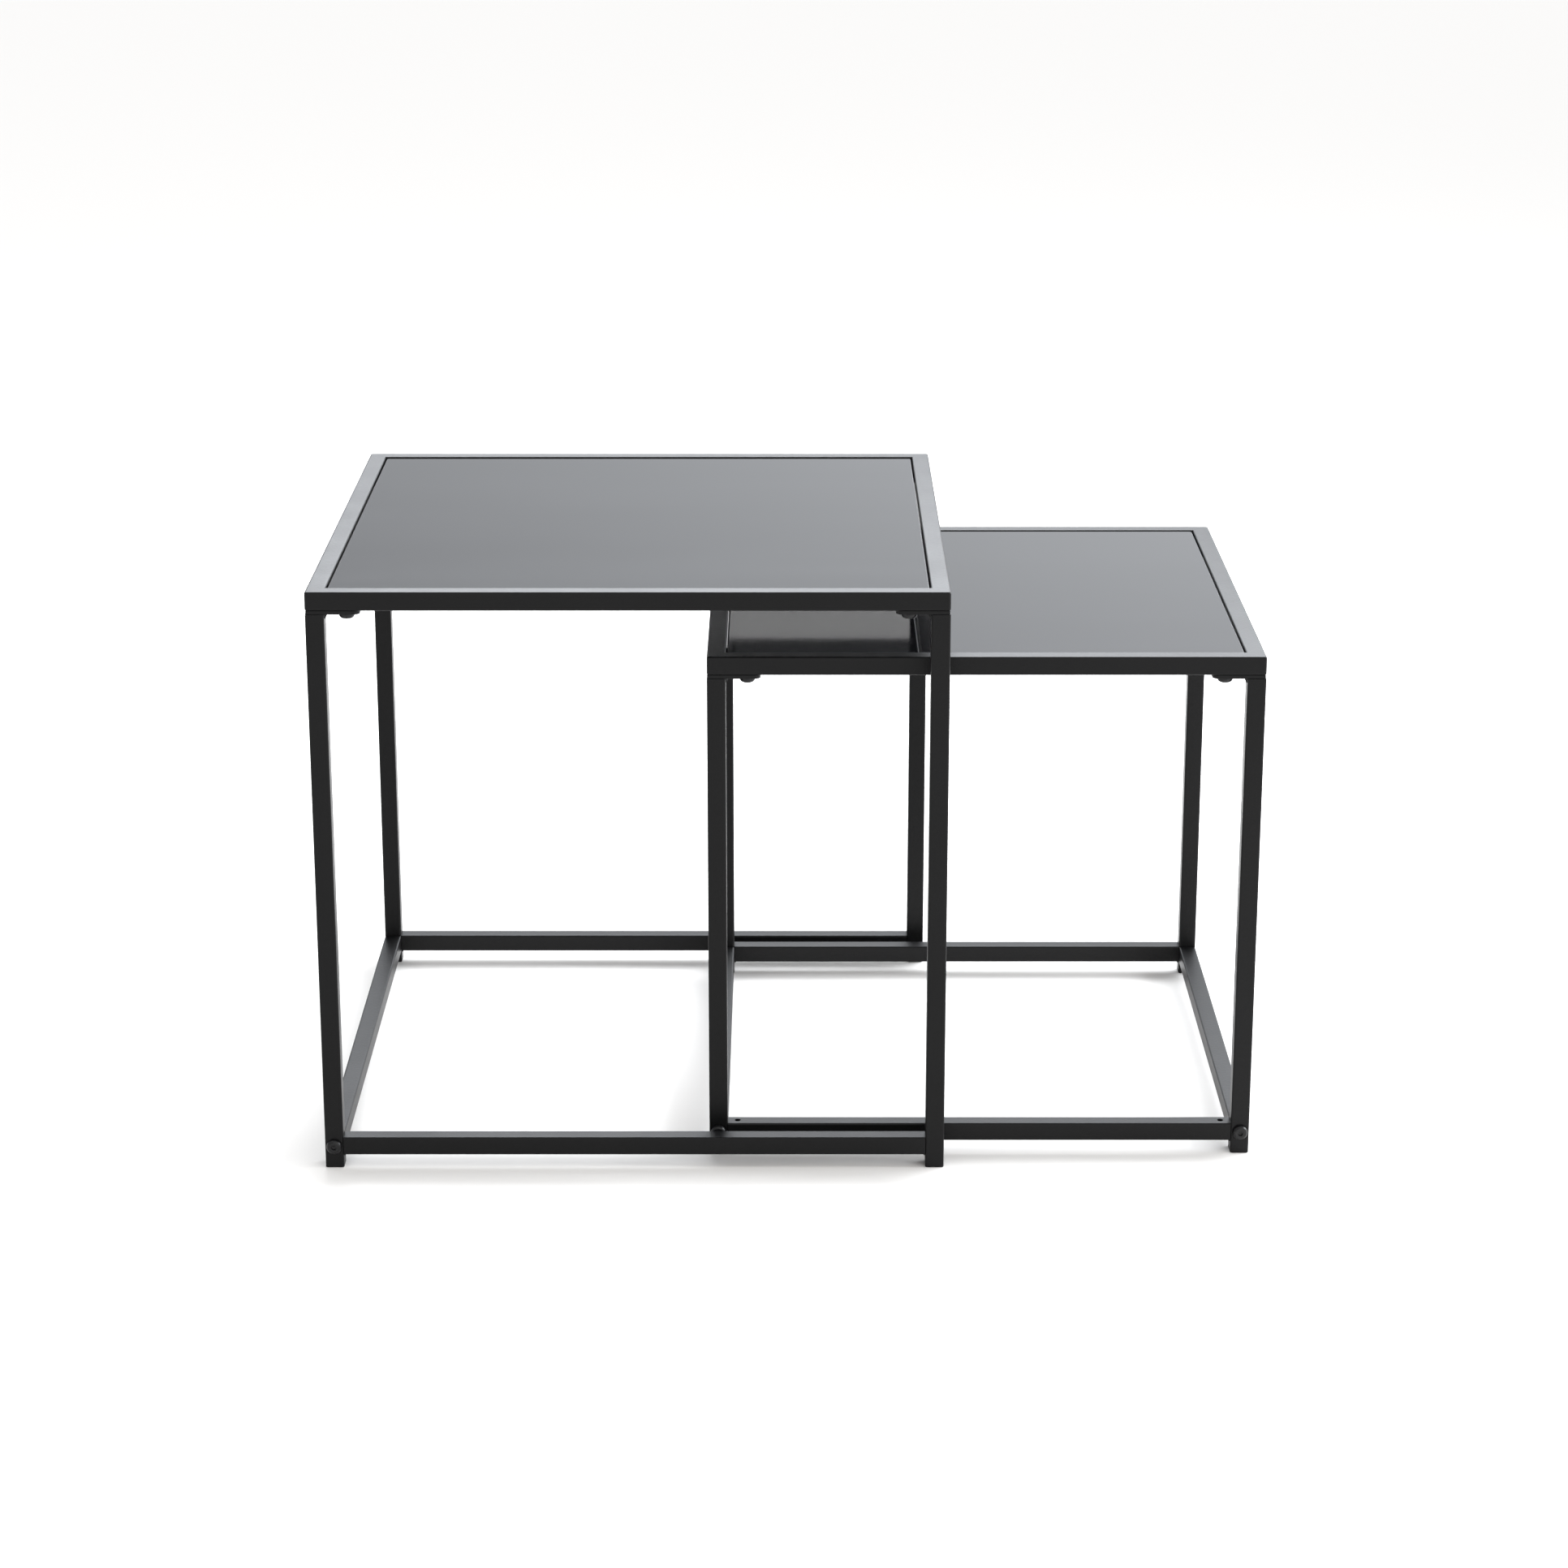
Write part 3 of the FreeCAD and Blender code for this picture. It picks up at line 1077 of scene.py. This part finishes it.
@dataclass
class Welds:
    """Fillet weld beads, with the ripple that a welding torch leaves."""

    layout: Layout
    coat: Finish
    reach: float = 2.0 * MM
    end_gap: float = 1.5 * MM
    end_share: float = 0.06
    end_fullness: float = 2.2
    face_hollow: float = 1.25
    face_steps: int = 6
    ripple_pitch: float = 1.3 * MM
    ripple_share: float = 0.14
    rows_per_ripple: int = 4

    def bead(self, draft: Draft, place: Matrix, drop: float, length: float) -> None:
        """Adds one bead under a flat face and against a leg.

        Args:
            draft: the draft to add to.
            place: local frame, with its origin in the corner, X along the face and Z up the leg.
            drop: how far it runs down the leg.
            length: the bead's length along local Y.
        """
        rows = round(length / self.ripple_pitch) * self.rows_per_ripple
        rings = []
        for row in range(rows + 1):
            along = length * row / rows
            wave = abs(math.sin(math.pi * along / self.ripple_pitch))
            share = max(self.end_share, min(1 - self.end_share, row / rows))
            taper = min(1.0, math.sin(math.pi * share) * self.end_fullness)
            swell = taper * (1 - self.ripple_share * (1 - wave))
            ring = [place @ Vector((0, along, 0))]
            for step in range(self.face_steps + 1):
                turn = math.radians(90) * step / self.face_steps
                ring.append(place @ Vector((self.reach * swell * math.cos(turn) ** self.face_hollow, along,
                                            -drop * swell * math.sin(turn) ** self.face_hollow)))
            rings.append(ring)
        draft.loft(rings)

    def build(self) -> None:
        """Builds the beads under the flange plates and under the welded rails."""
        length = self.layout.tube - 2 * self.end_gap
        for part, name in (("plate_welds", "plate_beads"), ("rail_welds", "rail_beads")):
            low, high = self.layout.box(part)
            draft = Draft()
            for corner in self.layout.corner_frames():
                place = corner @ Matrix.Translation((self.layout.tube, self.end_gap, high.z))
                self.bead(draft, place, high.z - low.z, length)
            self.layout.piece(draft, name, self.coat, part)


# ---- studio
@dataclass
class SoftBox:
    """A rectangular soft light that faces the tables."""

    name: str
    radiance: float
    width: float
    height: float
    centre: tuple[float, float, float]

    def build(self, colour: Colour) -> None:
        """Hangs the light.

        Args:
            colour: the light's colour.
        """
        light = bpy.data.lights.new(self.name, "AREA")
        light.shape = "RECTANGLE"
        light.size, light.size_y = self.width, self.height
        light.color = colour
        light.energy = self.radiance * math.pi * self.width * self.height
        box = bpy.data.objects.new(self.name, light)
        bpy.context.scene.collection.objects.link(box)
        low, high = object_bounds()
        box.location = self.centre
        box.rotation_euler = (Vector(self.centre) - (low + high) / 2).to_track_quat("Z", "Y").to_euler()


@dataclass
class Studio:
    """A pale floor in a white studio, with one soft box close behind the tables and one on the right."""

    floor_size: float = 60.0
    floor_colour: Colour = (0.820, 0.803, 0.779)
    floor_roughness: float = 0.9
    plain_light: Colour = (1.0, 1.0, 1.0)
    cool_light: Colour = (0.955, 0.985, 1.03)
    front_level: float = 1.3
    back_level: float = 1.12
    back_slant: float = 1.3
    top_level: float = 1.2
    top_start: float = 40.0
    top_stop: float = 60.0
    turn_width: float = 0.15
    slant_width: float = 0.3
    boxes: tuple[SoftBox, ...] = (
        SoftBox("back_soft_box", radiance=9.2, width=3.2, height=1.3, centre=(0.55, 1.75, 1.80)),
        SoftBox("side_soft_box", radiance=12.0, width=2.4, height=1.3, centre=(2.75, 0.5, 1.40)),
    )

    def build(self) -> None:
        """Sets up the floor, the surroundings and the soft boxes."""
        self.build_floor()
        self.build_surroundings()
        for box in self.boxes:
            box.build(self.cool_light)
        bpy.context.scene.view_settings.view_transform = "Standard"

    def build_floor(self) -> None:
        """Lays a large pale floor."""
        half = self.floor_size / 2
        draft = Draft()
        corners = [(-half, -half), (half, -half), (half, half), (-half, half)]
        draft.mesh.faces.new([draft.mesh.verts.new((x, y, 0)) for x, y in corners])
        floor = draft.park("studio_floor")
        sheet = NodeSheet("studio_floor")
        sheet.set(Base_Color=(*self.floor_colour, 1.0), Roughness=self.floor_roughness,
                  Specular_IOR_Level=0.0)
        floor.data.materials.append(sheet.material)
        floor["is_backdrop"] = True

    def build_surroundings(self) -> None:
        """Makes the surroundings white, a little brighter in front and to the right, and a little cooler
        behind.
        """
        world = bpy.data.worlds.new("studio_surroundings")
        world.use_nodes = True
        sky = SkySheet(world.node_tree)
        turn, width = self.turn_width, self.slant_width
        rise = width * self.back_slant
        behind = sky.ramp(sky.axis("Y"), -turn, turn, self.front_level, self.back_level)
        slant = sky.ramp(sky.axis("X"), -width, width, 1 - rise, 1 + rise)
        start, stop = (math.sin(math.radians(angle)) for angle in (self.top_start, self.top_stop))
        lower = sky.ramp(sky.axis("Z"), start, stop, 1.0, 0.0)
        upper = sky.ramp(sky.axis("Z"), start, stop, 0.0, self.top_level)
        level = sky.join("ADD", sky.join("MULTIPLY", sky.join("MULTIPLY", behind, slant), lower), upper)
        sky.finish(level, sky.ramp(sky.axis("Y"), -turn, turn, 0.0, 1.0), self.plain_light, self.cool_light)
        bpy.context.scene.world = world


class SkySheet:
    """The node tree of the surroundings, worked out from the direction looked in."""

    def __init__(self, tree: bpy.types.NodeTree) -> None:
        """Starts the tree at the direction's three parts.

        Args:
            tree: the world's node tree.
        """
        self.tree = tree
        place = tree.nodes.new("ShaderNodeTexCoord")
        self.parts = tree.nodes.new("ShaderNodeSeparateXYZ")
        tree.links.new(place.outputs["Generated"], self.parts.inputs["Vector"])

    def axis(self, name: str) -> bpy.types.NodeSocket:
        """One part of the direction, by its axis."""
        return self.parts.outputs[name]

    def ramp(self, source: bpy.types.NodeSocket, start: float, stop: float, low: float,
             high: float) -> bpy.types.NodeSocket:
        """A smooth step from one level to another.

        Args:
            source: the value it follows.
            start: where the step starts.
            stop: where it stops.
            low: the level before it.
            high: the level after it.

        Returns:
            The socket that gives the level.
        """
        step = self.tree.nodes.new("ShaderNodeMapRange")
        step.interpolation_type = "SMOOTHSTEP"
        for name, value in (("From Min", start), ("From Max", stop), ("To Min", low), ("To Max", high)):
            step.inputs[name].default_value = value
        self.tree.links.new(source, step.inputs["Value"])
        return step.outputs["Result"]

    def join(self, operation: str, first: bpy.types.NodeSocket,
             second: bpy.types.NodeSocket) -> bpy.types.NodeSocket:
        """Combines two levels.

        Args:
            operation: the name of the arithmetic.
            first: one level.
            second: the other.

        Returns:
            The socket that gives the result.
        """
        both = self.tree.nodes.new("ShaderNodeMath")
        both.operation = operation
        self.tree.links.new(first, both.inputs[0])
        self.tree.links.new(second, both.inputs[1])
        return both.outputs["Value"]

    def finish(self, level: bpy.types.NodeSocket, share: bpy.types.NodeSocket, colour: Colour,
               other: Colour) -> None:
        """Wires the level and colour to the surroundings.

        Args:
            level: how bright each direction is.
            share: how much of the other colour each direction has.
            colour: the light's colour where the share is nothing.
            other: its colour where the share is whole.
        """
        mix = self.tree.nodes.new("ShaderNodeMix")
        mix.data_type = "RGBA"
        ends = [socket for socket in mix.inputs if socket.type == "RGBA"]
        for socket, value in zip(ends, (colour, other)):
            socket.default_value = (*value, 1.0)
        self.tree.links.new(share, mix.inputs["Factor"])
        mixed = next(socket for socket in mix.outputs if socket.type == "RGBA")
        background = self.tree.nodes["Background"]
        self.tree.links.new(mixed, background.inputs["Color"])
        self.tree.links.new(level, background.inputs["Strength"])


@dataclass
class Camera:
    """The view from the front, a little above, with a long lens."""

    sideways: float = -4.2 * MM
    distance: float = 2.8353
    height: float = 1.2099
    look_down: float = 17.33
    lens: float = 87.0
    sensor: float = 36.0

    def build(self) -> None:
        """Sets the scene's camera in front of the object's front face."""
        data = bpy.data.cameras.new("camera")
        data.lens, data.sensor_width = self.lens, self.sensor
        camera = bpy.data.objects.new("camera", data)
        bpy.context.scene.collection.objects.link(camera)
        table_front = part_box("outer_top_front_bar")[0].y
        camera.location = (self.sideways, table_front - self.distance, self.height)
        camera.rotation_euler = (math.radians(90 - self.look_down), 0, 0)
        bpy.context.scene.camera = camera


# ---- assembly
def build_table(name: str) -> None:
    """Builds every piece of one table around its CAD nodes.

    Args:
        name: the table's name, as its CAD nodes start.
    """
    layout = Layout(name)
    stock = TubeStock()
    coat = PowderCoat()
    TopFrame(layout, stock, coat).build()
    TopPanel(layout, BlackGlass(), coat, PadRubber()).build()
    LegFrames(layout, stock, coat, MouldedPlastic()).build()
    Fasteners(layout, BlackZinc()).build()
    Welds(layout, coat).build()
    for part in ("frame_inserts", "rail_plugs"):
        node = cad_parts[layout.node(part)]
        node.data.materials.clear()
        node.data.materials.append(PlatedSteel().material())
        log.info("%s keeps its CAD shape", node.name)


def main() -> None:
    """Builds the studio and both tables."""
    logging.basicConfig(level=logging.INFO, format="%(message)s")
    Camera().build()
    Studio().build()
    for name in ("outer", "inner"):
        build_table(name)


if __name__ == "__main__":
    main()
